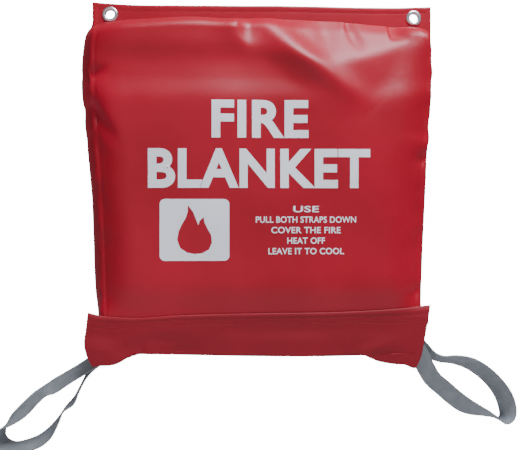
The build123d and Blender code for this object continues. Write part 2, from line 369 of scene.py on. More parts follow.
HEADER_FOOT = -38.0
HEM_WIDTH = 8.0          # from an edge to its line of stitches
BAND_SHEET = 0.9


def header_surface(x, z):
    """Depth of the band's front, with a groove along the stitches."""
    top = through(x, HEADER_TOPS)
    from_edge = np.minimum(top - z, HEADER_SIDE - np.abs(x))
    depth = 3.62 + header_ripple(x, z)
    level = smooth_step((np.hypot(np.abs(x) - EYELET_X, z) - 12) / 5)
    depth = depth + 0.35 * np.exp(-((from_edge - 3.6) / 3.2) ** 2) * level
    return depth - 0.22 * np.exp(-((from_edge - HEM_WIDTH) / 1.2) ** 2)


def header_rule(u, v):
    """The band, from behind the pouch's crown to its rounded top edge."""
    x = (2 * u - 1) * HEADER_SIDE
    top = through(x, HEADER_TOPS)
    z = HEADER_FOOT + (top - HEADER_FOOT) * v
    from_edge = np.minimum(top - z, HEADER_SIDE - np.abs(x))
    rounding = 0.8 * np.clip(1 - from_edge / 1.2, 0, 1) ** 2
    return x, -(header_surface(x, z) - rounding), z


header_band = sheet_from_rule("header_band_sheet", 300, 44, header_rule)
give_thickness(header_band, BAND_SHEET)
punch_eyelet_holes(header_band)
dress(header_band, TARPAULIN, "pouch_tarpaulin", "pouch", "header_band")


# ---------------------------------------------------------------------------
# Eyelets: bright plated steel, pressed from sheet, so the flange is smooth and mirror-like
# with faint handling marks. The CAD pieces are shown as they are, with this material.

def plated_steel():
    """Bright zinc plate with fine scuffs."""
    material, tree, shader = new_material("plated_steel", Metallic=1.0)
    place = add_node(tree, "ShaderNodeTexCoord", (-900, 0))
    scuffs = add_node(tree, "ShaderNodeTexNoise", (-700, 100), Scale=300.0, Detail=6.0)
    cloud = add_node(tree, "ShaderNodeTexNoise", (-700, -200), Scale=90.0, Detail=3.0)
    rough = add_node(tree, "ShaderNodeMapRange", (-450, 100))
    rough.inputs["To Min"].default_value = 0.16
    rough.inputs["To Max"].default_value = 0.42
    tint = two_tones(tree, (-450, -200), (0.72, 0.73, 0.76), (0.88, 0.88, 0.90))
    wire(tree, (place, "Object", scuffs, "Vector"), (place, "Object", cloud, "Vector"),
         (scuffs, "Fac", rough, "Value"), (cloud, "Fac", tint, 0), (rough, "Result", shader, "Roughness"),
         (tint, 2, shader, "Base Color"))
    return material


PLATED_STEEL = plated_steel()
for name in ("left_eyelet", "left_eyelet_washer", "right_eyelet", "right_eyelet_washer"):
    metal_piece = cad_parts[name]
    metal_piece.data.materials.clear()
    metal_piece.data.materials.append(PLATED_STEEL)


# ---------------------------------------------------------------------------
# Front panel: one sheet of tarpaulin, sewn to the gussets down both sides with its
# edges left standing as narrow flanges, and turned back over the top to the header.
# The blanket pushes it out below its own upper edge; loose folds lie above that.

FLANGE = 7.0             # width of the sewn edge outside the stitches
HEM_Z = -462.0
HEM_END = 0.03           # share of the panel's length that is turned up inside as a hem
HEM_TURN = 10.0          # height of that hem
CROWN_HEIGHT = 22.0
CROWN_HALF_WIDTH = 228.0
CROWN_START = 0.90       # share of the panel's length below the crown
HEADER_DEPTH = 5.2
PANEL_SHEET = 0.7
EDGE_ROUNDING = 46.0     # how far in from the seams the filled panel is still rising

PANEL_WIDTHS = [(-472, 213), (-378, 216), (-258, 221), (-160, 228), (-85, 232), (-45, 231), (-10, 224)]
CROWN_TOPS = [(-240, -22), (-224, -16), (-203, -12), (-157, -8), (-94, -4.5), (-45, -6.2), (-20, -4.4),
              (60, -3.8), (102, -4.8), (145, -9), (180, -12), (216, -15.5), (236, -25)]
DEPTHS = [(-470, 50), (-410, 50), (-376, 56), (-330, 55), (-250, 54.5), (-150, 54), (-122, 53),
          (-92, 47), (-70, 45), (-45, 47.5), (-28, 47)]
EDGE_DEPTHS = [(-470, 48), (-420, 47.5), (-380, 42), (-250, 40), (-60, 40), (-10, 40)]


def half_width(z):
    """Half the panel's width, to the edge of its flange."""
    return through(z, PANEL_WIDTHS)


def line_distance(x, z, start, end):
    """Distance to the left of a line, and how far along it the nearest point is."""
    run = np.array(end, float) - np.array(start, float)
    length = np.hypot(*run)
    run = run / length
    along = ((x - start[0]) * run[0] + (z - start[1]) * run[1]) / length
    aside = (z - start[1]) * run[0] - (x - start[0]) * run[1]
    return aside, along


def rounded_ramp(distance, width, softness):
    """0 before a line and 1 beyond a slope of that width, with its corners rounded."""
    rise = np.logaddexp(0, distance / softness) - np.logaddexp(0, (distance - width) / softness)
    return softness * rise / width


def fold(x, z, start, end, height, left_width, right_width):
    """A pinched fold along a line: steepest at its crest and fading out at its far end."""
    aside, along = line_distance(x, z, start, end)
    across = np.where(aside > 0, aside / left_width, -aside / right_width)
    shape = 1.15 * np.exp(-across * across) - 0.15 * np.exp(-(across * across) / 6)
    ends = smooth_step(along / 0.15 + 0.35) * smooth_step((1 - along) / 0.75)
    return height * shape * np.where((along > -0.3) & (along < 1), ends, 0)


# start and end of each fold, its height, and its widths to the left and right of its line
LEFT_SEAM_FOLDS = [
    ((-236, -92), (-205, -80), -3.2, 9, 7), ((-238, -104), (-176, -192), 4.2, 26, 9),
    ((-238, -128), (-192, -186), -3.6, 8, 9), ((-236, -168), (-206, -214), -2.6, 8, 8),
    ((-232, -236), (-206, -292), -1.8, 9, 9)]
RIGHT_SEAM_FOLDS = [
    ((232, -196), (196, -212), -3.0, 7, 10), ((230, -182), (170, -176), 1.6, 16, 10),
    ((226, -300), (196, -306), -1.6, 7, 8), ((222, -376), (186, -392), -2.2, 7, 9)]
HEADER_FOLDS = [
    ((78, -14), (97, -67), -2.6, 16, 12), ((118, -22), (135, -66), -3.0, 10, 9),
    ((172, -32), (204, -36), -3.4, 5, 6), ((-45, -8), (-26, -62), 2.6, 7, 22)]


def with_folds(depth, x, z, folds):
    """A surface's depth after each of these folds is added."""
    for start, end, height, left_width, right_width in folds:
        depth = depth + fold(x, z, start, end, height, left_width, right_width)
    return depth


def with_slack_corner(depth, x, z):
    """A triangle of slack below the header, pulled tight from its foot up to the right."""
    left, along = line_distance(x, z, (-46, -14), (124, -161))
    lens = 4 * np.clip(along * (1 - along), 0, 1)
    left = left + 8 * lens
    right, _ = line_distance(x, z, (131, -166), (226, -44))
    left_slope = rounded_ramp(left, 34, 4)
    right_slope = rounded_ramp(right, 24, 5)
    sharp = 9.0
    inside = np.clip(-np.logaddexp(-sharp * left_slope, -sharp * right_slope) / sharp, 0, 1)
    plane = 55 - 0.103 * (x - 125) - 0.093 * (z + 160)
    ridge = 7.5 * lens * np.exp(-((left - 35) / 17) ** 2)
    return depth + inside * (plane - depth) + ridge


SHELF_LINE = [(-60, -30), (-20, -52), (30, -64), (90, -72), (140, -62), (190, -46), (240, -36)]


def shelf(x, z):
    """Where the slack triangle tips back towards the header."""
    line = through(x, SHELF_LINE)
    above = 4 * np.logaddexp(0, (z - line) / 4)
    inside = smooth_step((x + 48) / 30) * smooth_step((236 - x) / 60)
    return -0.50 * above * inside


def panel_depth(x, z):
    """How far the front panel stands off the wall."""
    depth = through(z, DEPTHS)
    depth = with_slack_corner(depth, x, z) + shelf(x, z)
    centre = x - LEAN
    from_edge = half_width(z) - FLANGE - np.abs(centre)
    edge = through(z, EDGE_DEPTHS) + ripple(z, (0.6, 61, 0.4), (0.3, 37, 2.0))
    rise = 1 - np.power(np.clip(1 - from_edge / EDGE_ROUNDING, 0, 1), 2.3)
    depth = edge + (depth - edge) * np.where(from_edge > 0, rise, 0)
    depth = with_folds(depth, x, z, LEFT_SEAM_FOLDS + RIGHT_SEAM_FOLDS + HEADER_FOLDS)
    middle = smooth_step(from_edge / 60)
    depth = depth + middle * ripple(x + 0.6 * z, (0.7, 210, 1.0), (0.35, 118, 2.2))
    depth = depth + middle * ripple(z - 0.3 * x, (0.5, 143, 0.3))
    return depth


def panel_rule(u, v):
    """The whole front panel: its hem, its face, and its return over the crown."""
    side = 2 * u - 1
    rough_x = LEAN + side * CROWN_HALF_WIDTH
    top = through(rough_x, CROWN_TOPS)
    start = top - CROWN_HEIGHT
    rising = (v - HEM_END) / (CROWN_START - HEM_END)
    z = HEM_Z + (start - HEM_Z) * np.clip(rising, 0, 1)
    in_hem = np.clip(1 - v / HEM_END, 0, 1)
    z = z + HEM_TURN * in_hem
    turn = np.clip((v - CROWN_START) / (1 - CROWN_START), 0, 1) * math.pi / 2
    half = half_width(z) - 1.2 * (in_hem > 0)
    x = LEAN + side * half
    at_edge = np.sign(side) * smooth_step((np.abs(side) - 0.9) / 0.1)
    x = x + at_edge * ripple(z, (0.7, 47, 0), (0.5, 29, 1))
    front = panel_depth(x, z)
    lean_back = np.minimum(front - panel_depth(x, z - 1), 0) * (turn > 0)
    front = front + lean_back * (top - start) * np.sin(turn)
    groove = np.abs(np.abs(x - LEAN) - (half_width(z) - FLANGE))
    front = front - 0.7 * np.exp(-(groove / 1.5) ** 2)
    front = front - 3.0 * np.clip((np.abs(x - LEAN) - half_width(z) + FLANGE) / FLANGE, 0, 1) ** 2
    front = front - 1.5 * smooth_step(in_hem / 0.2)
    depth = HEADER_DEPTH + (front - HEADER_DEPTH) * np.cos(turn)
    z = z + (top - start) * np.sin(turn) - 5 * (turn / (math.pi / 2)) ** 6
    return x, -depth, z


front_panel = sheet_from_rule("front_panel_sheet", 220, 214, panel_rule)
give_thickness(front_panel, PANEL_SHEET)
dress(front_panel, TARPAULIN, "pouch_tarpaulin", "pouch", "front_panel")


# ---------------------------------------------------------------------------
# Gussets: one strip of tarpaulin down each side, sewn in behind the front panel's flange
# and turned in along the back panel. They bulge outwards, and their free lower ends
# flare where the straps pass under them.

LEFT_BULGE = [(-470, 8), (-459, 20), (-446, 12), (-425, 5), (-380, 7), (-250, 8), (-150, 12), (-80, 12),
              (-20, 8)]
RIGHT_BULGE = [(-470, 9), (-461, 10), (-448, 6), (-420, 3), (-250, 3), (-80, 2), (-20, 3)]
GUSSET_SHEET = 0.6
FLARE_HEIGHT = 40.0      # height over which a gusset's free end comes to its own length
SEAM_SHARE = 0.12        # share of a gusset's width that is sewn behind the flange
LAP_SHARE = 0.14         # share that is turned in along the back panel


def gusset_rule(side, foot, bulges):
    """A rule for one gusset: u runs from the flange round to the back panel, v upwards."""
    def rule(u, v):
        edge_x, edge_y, z = panel_rule(np.full_like(v, (side + 1) / 2), np.maximum(v, HEM_END))
        lower = np.clip((HEM_Z + FLARE_HEIGHT - z) / FLARE_HEIGHT, 0, None)
        z = z - lower * (HEM_Z - foot)
        seam_x = LEAN + side * (half_width(z) - FLANGE)
        back_x = LEAN + side * (through(z, BACK_EDGES) - 1.2)
        behind = edge_y + 0.9
        wall = np.clip((u - SEAM_SHARE) / (1 - SEAM_SHARE - LAP_SHARE), 0, 1)
        bulge = through(z, bulges) * np.clip((-edge_y - 6) / 30, 0, 1)
        x = edge_x - side * 0.4 + (seam_x - edge_x) * np.clip(u / SEAM_SHARE, 0, 1)
        x = x + (back_x - seam_x) * smooth_step(wall) + side * bulge * np.sin(math.pi * wall) ** 0.8
        x = x - side * 10 * np.clip((u - 1 + LAP_SHARE) / LAP_SHARE, 0, 1)
        y = behind + (-2.9 - behind) * wall
        y = y + 1.0 * np.clip((u - 1 + LAP_SHARE) / 0.05, 0, 1)
        return x, np.minimum(y, -1.85), z
    return rule


for name, side, foot, bulges in (("left", -1, -468, LEFT_BULGE), ("right", 1, -460, RIGHT_BULGE)):
    gusset = sheet_from_rule(name + "_gusset_sheet", 44, 160, gusset_rule(side, foot, bulges))
    give_thickness(gusset, GUSSET_SHEET, 0)
    dress(gusset, TARPAULIN, "pouch_tarpaulin", "pouch", name + "_gusset")


# ---------------------------------------------------------------------------
# Seams: lockstitches of red polyester thread, each a short raised stitch pulled into the
# sheet at both ends. One stitch is modelled, repeated in a row and laid along its seam.

def thread_material(name, dark, light):
    """Twisted polyester thread, matt."""
    material, tree, shader = new_material(name, Roughness=0.7)
    place = add_node(tree, "ShaderNodeTexCoord", (-900, 0))
    drift = add_node(tree, "ShaderNodeTexNoise", (-700, 100), Scale=60.0, Detail=4.0)
    twist = add_node(tree, "ShaderNodeTexWave", (-700, -200), Scale=900.0, Distortion=1.5)
    tint = two_tones(tree, (-450, 100), dark, light)
    bump = add_node(tree, "ShaderNodeBump", (-300, -200), Strength=0.3, Distance=0.0002)
    wire(tree, (place, "Object", drift, "Vector"), (place, "Object", twist, "Vector"),
         (drift, "Fac", tint, 0), (twist, "Fac", bump, "Height"), (tint, 2, shader, "Base Color"),
         (bump, "Normal", shader, "Normal"))
    return material


RED_THREAD = thread_material("red_thread", (0.30, 0.004, 0.010), (0.42, 0.010, 0.020))
STITCH_PITCH = 4.0


def stitch_row(name, line, outward=(0, -1, 0)):
    """Stitches laid along a line of points in millimetres, standing off in one direction."""
    line = np.array(line, float)
    steps = np.linalg.norm(np.diff(line, axis=0), axis=1)
    place = np.concatenate([[0], np.cumsum(steps)])
    count = max(2, int(place[-1] / STITCH_PITCH))
    pitch = place[-1] / count
    bpy.ops.object.select_all(action="DESELECT")
    bpy.ops.mesh.primitive_uv_sphere_add(segments=6, ring_count=5, radius=1)
    row = bpy.context.object
    row.name = name
    row.rotation_euler = (0, math.pi / 2, 0)
    row.scale = (0.30, 0.32, 0.42 * pitch)
    bpy.ops.object.transform_apply(rotation=True, scale=True)
    apply_modifier(row, "ARRAY", count=count, use_relative_offset=False, use_constant_offset=True,
                   constant_offset_displace=(pitch, 0, 0))
    out = np.array(outward, float)

    def follow(along, across, off):
        def at(distance):
            return np.column_stack([np.interp(distance, place, line[:, axis]) for axis in range(3)])

        distance = along + pitch / 2
        middle = at(distance)
        run = at(distance + 1) - at(distance - 1)
        run = run / np.maximum(np.linalg.norm(run, axis=1), 1e-6)[:, None]
        sideways = np.cross(out, run)
        return (middle + sideways * across[:, None] + out * off[:, None]).T

    shape_by_rule(row, follow)
    turn_outward(row)
    smooth_below(row, 60)
    return row


def join(name, pieces):
    """Make several meshes one object."""
    bpy.ops.object.select_all(action="DESELECT")
    for piece in pieces:
        piece.select_set(True)
    bpy.context.view_layer.objects.active = pieces[0]
    bpy.ops.object.join()
    pieces[0].name = name
    return pieces[0]


def header_line(points):
    """Points on the header's face, from their (x, z) places."""
    x, z = np.array(points, float).T
    return np.column_stack([x, -header_surface(x, z), z])


across = np.linspace(-HEADER_SIDE + HEM_WIDTH, HEADER_SIDE - HEM_WIDTH, 200)
top_line = header_line([(x, through(x, HEADER_TOPS) - HEM_WIDTH) for x in across])
clear_of_eyelets = np.hypot(np.abs(top_line[:, 0]) - EYELET_X, top_line[:, 2]) > 12.5
outer_left = clear_of_eyelets & (top_line[:, 0] < -EYELET_X)
between = clear_of_eyelets & (np.abs(top_line[:, 0]) < EYELET_X)
outer_right = clear_of_eyelets & (top_line[:, 0] > EYELET_X)
rows = [stitch_row("header_row", top_line[part]) for part in (outer_left, between, outer_right)]
for side in (-1, 1):
    down = [(side * (HEADER_SIDE - HEM_WIDTH), z) for z in np.linspace(7, -34, 30)]
    rows.append(stitch_row("header_row", header_line(down)))
header_stitches = join("header_stitches", rows)
dress(header_stitches, RED_THREAD, "sewing_thread", "pouch", "header_stitching")


def panel_point(x, z, off):
    """Points that stand this far in front of the front panel's outer face."""
    return np.column_stack([x, -(panel_depth(x, z) + off), z])


climb = np.linspace(-404, -34, 160)
rows = []
for side in (-1, 1):
    seam_x = LEAN + side * (half_width(climb) - FLANGE)
    rows.append(stitch_row("seam_row", panel_point(seam_x, climb, -0.65)))
seam_stitches = join("front_seam_stitches", rows)
dress(seam_stitches, RED_THREAD, "sewing_thread", "pouch", "front_seam_stitching")

run_x = np.linspace(LEAN - 203, LEAN + 203, 120)
hem_stitches = stitch_row("front_hem_stitches", panel_point(run_x, np.full(120, -453.0), 0.1))
dress(hem_stitches, RED_THREAD, "sewing_thread", "pouch", "front_hem_stitching")


# ---------------------------------------------------------------------------
# Print: white ink on the front panel, a thin flat layer with sharp edges that follows
# every fold. Plain block capitals, a rounded square with a flame left out of it,
# and five lines of instructions.

def ink_material():
    """Screen-printed white ink with slightly uneven cover."""
    material, tree, shader = new_material("white_ink", Roughness=0.55)
    surface = coated_surface(tree, 0.15)
    cover = two_tones(tree, (-400, 200), (0.84, 0.84, 0.92), (0.93, 0.94, 1.0))
    wire(tree, (surface, "Specks", cover, 0), (cover, 2, shader, "Base Color"),
         (surface, "Normal", shader, "Normal"))
    return material


WHITE_INK = ink_material()
INK_CELL = 2.4           # spacing of the points that let the ink follow the folds
CUTTER_DEPTH = 40.0      # from front to back, far more than the ink film
FILM_DEPTH = 2.0         # the film while it is cut, before it is laid down thin


def outline_slab(points):
    """An upright slab with any outline, given as (x, z) corners in millimetres."""
    bpy.ops.object.select_all(action="DESELECT")
    bpy.ops.mesh.primitive_circle_add(vertices=len(points), radius=1, fill_type="NGON")
    slab = bpy.context.object
    for vertex, (x, z) in zip(slab.data.vertices, points):
        vertex.co = (x / 1000, CUTTER_DEPTH / 2000, z / 1000)
    toward_front = -1 if slab.data.polygons[0].normal.y > 0 else 1
    apply_modifier(slab, "SOLIDIFY", thickness=CUTTER_DEPTH / 1000, offset=toward_front)
    turn_outward(slab)
    return slab


def lettering(words, left, right, z_low, z_high, weight):
    """Block capitals stretched to fill a rectangle on the front."""
    bpy.ops.object.select_all(action="DESELECT")
    bpy.ops.object.text_add(rotation=(math.pi / 2, 0, 0))
    text = bpy.context.object
    text.data.body = words
    text.data.size = 1
    text.data.offset = weight
    text.data.space_character = 1.02 + 1.2 * weight
    text.data.resolution_u = 6
    text.data.extrude = 0.5
    bpy.ops.object.convert(target="MESH")
    text = bpy.context.object
    bpy.ops.object.transform_apply(rotation=True)
    flat = np.array([vertex.co for vertex in text.data.vertices])
    low, high = flat.min(axis=0), flat.max(axis=0)
    cap = (flat[:, 2] - low[2]) / (high[2] - low[2])

    def fit(x, y, z):
        along = (x - low[0]) / (high[0] - low[0])
        through_film = (y - low[1]) / (high[1] - low[1]) - 0.5
        return left + (right - left) * along, CUTTER_DEPTH * through_film, z_low + (z_high - z_low) * cap

    shape_by_rule(text, fit)
    turn_outward(text, merged=True)
    return text


def ink_from(name, shape, box, crossing=True):
    """Cut a shape out of a finely divided film and lay the film on the front panel."""
    left, right, z_low, z_high = box
    columns = int((right - left) / INK_CELL)
    rows = int((z_high - z_low) / INK_CELL)

    def upright(u, v):
        return left + (right - left) * u, 0 * u, z_low + (z_high - z_low) * v

    film = sheet_from_rule(name, columns, rows, upright)
    apply_modifier(film, "SOLIDIFY", thickness=FILM_DEPTH / 1000, offset=0)
    turn_outward(film)
    cut(film, shape, "INTERSECT", crossing)

    def lay(x, y, z):
        x, z = 1000 * x, 1000 * z
        return x, -(panel_depth(x, z) + 0.16 - 0.10 * np.sign(y)), z

    shape_by_rule(film, lay)
    turn_outward(film)
    smooth_below(film, 40)
    dress(film, WHITE_INK, "printed_ink", "pouch")


words = lettering("FIRE", -71.0, 58.0, -176.0, -125.6, 0.035)
ink_from("print_fire", words, (-80, 66, -182, -120))
words = lettering("BLANKET", -155.0, 140.5, -242.8, -190.2, 0.035)
ink_from("print_blanket", words, (-164, 150, -250, -184))

# each line of use and half its width
LINES = [("USE", 17.29), ("PULL BOTH STRAPS DOWN", 67.165), ("COVER THE FIRE", 46.55), ("HEAT OFF", 25.27),
         ("LEAVE IT TO COOL", 50.54)]
LINES_MIDDLE = 54.8
LINES_TOP = -266.5
LINE_PITCH = 14.0
CAP_HEIGHT = 8.6
for number, (line, half) in enumerate(LINES):
    z_high = LINES_TOP - LINE_PITCH * number
    left, right = LINES_MIDDLE - half, LINES_MIDDLE + half
    words = lettering(line, left, right, z_high - CAP_HEIGHT, z_high, 0.02)
    ink_from("print_line_" + str(number + 1), words, (left - 4, right + 4, z_high - 12, z_high + 4))

SIGN_X = -93.5
SIGN_Z = -298.5
SIGN_WIDTH = 92.0
SIGN_HEIGHT = 82.0
SIGN_RADIUS = 7.0
CORNER_STEPS = 6
corners = []
for quarter, (way_x, way_z) in enumerate([(1, 1), (-1, 1), (-1, -1), (1, -1)]):
    centre_x = SIGN_X + way_x * (SIGN_WIDTH / 2 - SIGN_RADIUS)
    centre_z = SIGN_Z + way_z * (SIGN_HEIGHT / 2 - SIGN_RADIUS)
    for step in range(CORNER_STEPS + 1):
        angle = math.pi / 2 * (quarter + step / CORNER_STEPS)
        corners.append((centre_x + SIGN_RADIUS * math.cos(angle), centre_z + SIGN_RADIUS * math.sin(angle)))
sign_slab = outline_slab(corners)
FLAME = [(0, -32), (10, -31), (19, -26), (23, -17), (22, -7), (17, 2), (13, 10), (12, 17), (7, 12), (5, 6),
         (2, 14), (-2, 24), (-9, 33), (-9, 24), (-12, 15), (-17, 7), (-21, -2), (-23, -13), (-19, -24),
         (-10, -30)]
cut(sign_slab, outline_slab([(SIGN_X + x, SIGN_Z + z) for x, z in FLAME]))
ink_from("print_flame_sign", sign_slab, (-146, -40, -346, -252), False)


# ---------------------------------------------------------------------------
# Blanket: one square sheet of woven glass cloth with a thin grey-white coating, folded to
# and fro in twenty layers. It lies loose in the pouch, with a patch sewn to each lower corner.

def woven_group():
    """The tone and the normal of a plain weave, from a place measured in threads."""
    group = bpy.data.node_groups.new("woven_cloth", "ShaderNodeTree")
    for name, way, kind in (("Place", "INPUT", "Vector"), ("Depth", "INPUT", "Float"),
                            ("Tone", "OUTPUT", "Float"), ("Normal", "OUTPUT", "Vector")):
        group.interface.new_socket(name, in_out=way, socket_type="NodeSocket" + kind)
    entry = group.nodes.new("NodeGroupInput")
    leave = group.nodes.new("NodeGroupOutput")
    one_band = 0.314         # the wave texture's scale for one band to each thread
    warp = add_node(group, "ShaderNodeTexWave", (-600, 200), bands_direction="X", Scale=one_band)
    weft = add_node(group, "ShaderNodeTexWave", (-600, -100), bands_direction="Y", Scale=one_band)
    wear = add_node(group, "ShaderNodeTexNoise", (-600, -400), Scale=0.12, Detail=5.0)
    crossing = add_node(group, "ShaderNodeMath", (-350, 50), operation="MULTIPLY")
    tone = add_node(group, "ShaderNodeMath", (-150, 150), operation="MULTIPLY_ADD")
    tone.inputs[1].default_value = 0.35
    bump = add_node(group, "ShaderNodeBump", (-100, -150), Distance=0.0003)
    for texture in (warp, weft, wear):
        wire(group, (entry, "Place", texture, "Vector"))
    wire(group, (warp, "Fac", crossing, 0), (weft, "Fac", crossing, 1), (crossing, 0, tone, 0),
         (wear, "Fac", tone, 2), (crossing, 0, bump, "Height"), (entry, "Depth", bump, "Strength"),
         (tone, 0, leave, "Tone"), (bump, "Normal", leave, "Normal"))
    return group


WOVEN_CLOTH = woven_group()


def woven_material(name, dark, light, roughness, threads, depth, place="Object"):
    """A woven cloth or tape; threads is how many lie along each unit of its place."""
    material, tree, shader = new_material(name, Roughness=roughness, Specular_IOR_Level=0.3)
    where = add_node(tree, "ShaderNodeTexCoord", (-1100, 0))
    scale = add_node(tree, "ShaderNodeMapping", (-900, 0))
    scale.inputs["Scale"].default_value = threads
    weave = add_node(tree, "ShaderNodeGroup", (-650, 0), node_tree=WOVEN_CLOTH)
    weave.inputs["Depth"].default_value = depth
    tint = two_tones(tree, (-350, 150), dark, light)
    wire(tree, (where, place, scale, "Vector"), (scale, "Vector", weave, "Place"), (weave, "Tone", tint, 0),
         (tint, 2, shader, "Base Color"), (weave, "Normal", shader, "Normal"))
    return material


GLASS_CLOTH = woven_material("glass_cloth", (0.50, 0.51, 0.50), (0.66, 0.67, 0.65), 0.55,
                             (900, 900, 900), 0.4)

LAYERS = 20
STACK_BACK = 12.0
STACK_FRONT = 41.6
STACK_TOP = -98.0
STACK_FOOT = -436.0
STACK_SIDE = 199.0
LAYER_PITCH = (STACK_FRONT - STACK_BACK) / (LAYERS - 1)
BEND_SHARE = 0.2         # share of each layer's points that go round its bend
BLANKET_SHEET = 0.7
PATCH_SHEET = 0.8
PATCH_SIDE = 69.0


def fold_shortfall(u, layer):
    """How far each fold stops short of the stack's full height, as hand folding leaves it."""
    return 2.2 + 2.0 * np.sin(2.4 * layer + 0.7) + 1.2 * np.sin(3.1 * u + 1.9 * layer)


def blanket_rule(u, v):
    """To and fro: u runs across the blanket, v along the sheet from its rear end."""
    place = v * LAYERS
    layer = np.minimum(np.floor(place), LAYERS - 1)
    part = place - layer
    upward = np.where(layer % 2 == 0, 1.0, -1.0)
    straight = np.clip(part / (1 - BEND_SHARE), 0, 1)
    bend = np.clip((part - (1 - BEND_SHARE)) / BEND_SHARE, 0, 1) * math.pi
    bend = np.where(layer == LAYERS - 1, 0, bend)
    short = fold_shortfall(u, layer)
    short_before = fold_shortfall(u, layer - 1)
    start = np.where(upward > 0, STACK_FOOT + short_before, STACK_TOP - short_before)
    finish = np.where(upward > 0, STACK_TOP - short, STACK_FOOT + short)
    radius = LAYER_PITCH / 2
    z = start + (finish - start) * straight + upward * radius * 1.6 * np.sin(bend)
    depth = STACK_BACK + LAYER_PITCH * layer + radius * (1 - np.cos(bend))
    x = (2 * u - 1) * (STACK_SIDE + 0.8 * np.sin(1.7 * layer + z / 60))
    return x, -depth, z


blanket = sheet_from_rule("folded_blanket_sheet", 26, LAYERS * 24, blanket_rule)
give_thickness(blanket, BLANKET_SHEET, 0)
dress(blanket, GLASS_CLOTH, "blanket_cloth", "blanket", "folded_blanket")

for name, side in (("left", -1), ("right", 1)):
    def patch_rule(u, v, side=side):
        x = side * (STACK_SIDE - 0.5 - PATCH_SIDE * u)
        z = STACK_FOOT + 4 + PATCH_SIDE * v
        return x, -(STACK_FRONT + 1.1 + 0.12 * np.sin(7 * u + 5 * v)), z

    patch = sheet_from_rule(name + "_patch_sheet", 24, 24, patch_rule)
    give_thickness(patch, PATCH_SHEET, 0)
    dress(patch, GLASS_CLOTH, "blanket_cloth", "blanket", name + "_corner_patch")


# ---------------------------------------------------------------------------
# Pull straps: one length of grey webbing on each side. It is sewn to the blanket's corner,
# leaves the pouch beside the flap, goes round as a hand loop, comes back in and is sewn
# down under its own start. Both loops hang with the twist that the webbing has taken.

WEBBING = woven_material("grey_webbing", (0.15, 0.165, 0.18), (0.31, 0.33, 0.355), 0.62,
                         (16, 300, 1), 0.9, "UV")
GREY_THREAD = thread_material("grey_thread", (0.10, 0.11, 0.12), (0.20, 0.21, 0.22))
WEBBING_WIDTH = 25.0
WEBBING_THICKNESS = 1.8

# x, y, z in millimetres, and the turn of the webbing in degrees
LEFT_STRAP = [
    (-148, -46.0, -395, 90), (-170, -46.0, -417, 90), (-190, -45.6, -437, 88), (-205, -43, -452, 75),
    (-218, -37, -465, 56), (-232, -31, -477, 40), (-250, -27, -489, 36), (-268, -25, -500, 38),
    (-284, -24, -510, 41), (-296, -24, -516, 30), (-309, -24, -526, 36), (-325, -25, -542, 40),
    (-342, -26, -556, 22), (-354, -26, -567, -12), (-359, -25, -579, -38), (-352, -24, -590, -42),
    (-338, -24, -594, -32), (-320, -24, -590, -27), (-304, -24, -584, -30), (-292, -25, -575, -28),
    (-284, -25, -565, -20), (-277, -26, -554, -12), (-270, -26, -541, -6), (-258, -26, -530, -14),
    (-251, -26, -516, -10), (-243, -26, -500, -10), (-234, -27, -486, -16), (-221, -32, -470, -38),
    (-206, -40, -455, -68), (-190, -43.8, -438, -88), (-170, -44.1, -417, -90), (-148, -44.1, -395, -90)]
RIGHT_STRAP = [
    (148, -46.0, -395, 90), (170, -46.0, -417, 90), (190, -45.8, -438, 89), (204, -45, -457, 84),
    (213, -42, -473, 76), (221, -38, -488, 70), (231, -35, -503, 68), (246, -32, -516, 70),
    (261, -30, -529, 72), (276, -28, -540, 66), (290, -27, -547, 50), (306, -26, -553, 30),
    (320, -25, -559, 12), (332, -24, -564, -8), (339, -24, -556, -40), (338, -24, -541, -58),
    (331, -25, -525, -55), (320, -25, -510, -50), (305, -26, -496, -48), (286, -27, -484, -45),
    (265, -28, -478, -36), (246, -28, -477, -28), (234, -28, -473, -26), (222, -30, -466, -36),
    (208, -38, -455, -60), (190, -43.8, -437, -88), (170, -44.1, -417, -90), (148, -44.1, -395, -90)]


def flowing_line(stations, count):
    """Evenly spaced points on a smooth line through given stations."""
    stations = np.array(stations, float)
    steps = np.linalg.norm(np.diff(stations[:, :3], axis=0), axis=1)
    place = np.concatenate([[0], np.cumsum(steps)])
    before = np.vstack([stations[:1], stations[:-1]])
    after = np.vstack([stations[1:], stations[-1:]])
    gaps = np.concatenate([place[1:], place[-1:]]) - np.concatenate([place[:1], place[:-1]])
    slopes = (after - before) / gaps[:, None]
    fine = np.linspace(0, place[-1], count)
    low = np.clip(np.searchsorted(place, fine) - 1, 0, len(place) - 2)
    gap = (place[low + 1] - place[low])[:, None]
    t = ((fine - place[low]) / gap[:, 0])[:, None]
    return curve_between(t, gap, low, stations, slopes)


def strap_rule(stations, count):
    """A rule for webbing that follows stations: u across its width, v along its length."""
    line = flowing_line(stations, count)
    run = np.gradient(line[:, :3], axis=0)
    run = run / np.linalg.norm(run, axis=1)[:, None]
    outward = np.column_stack([run[:, 2], 0 * run[:, 0], -run[:, 0]])
    outward = outward / np.linalg.norm(outward, axis=1)[:, None]
    turn = np.radians(line[:, 3])[:, None]
    width_way = np.array([0.0, 1.0, 0.0]) * np.cos(turn) + outward * np.sin(turn)
    width_way = width_way - run * np.sum(width_way * run, axis=1)[:, None]
    width_way = width_way / np.linalg.norm(width_way, axis=1)[:, None]

    def rule(u, v):
        index = np.clip(np.round(v * (count - 1)), 0, count - 1).astype(int)
        points = line[index, :3] + width_way[index] * (WEBBING_WIDTH * (u - 0.5))[:, None]
        return points.T
    return rule


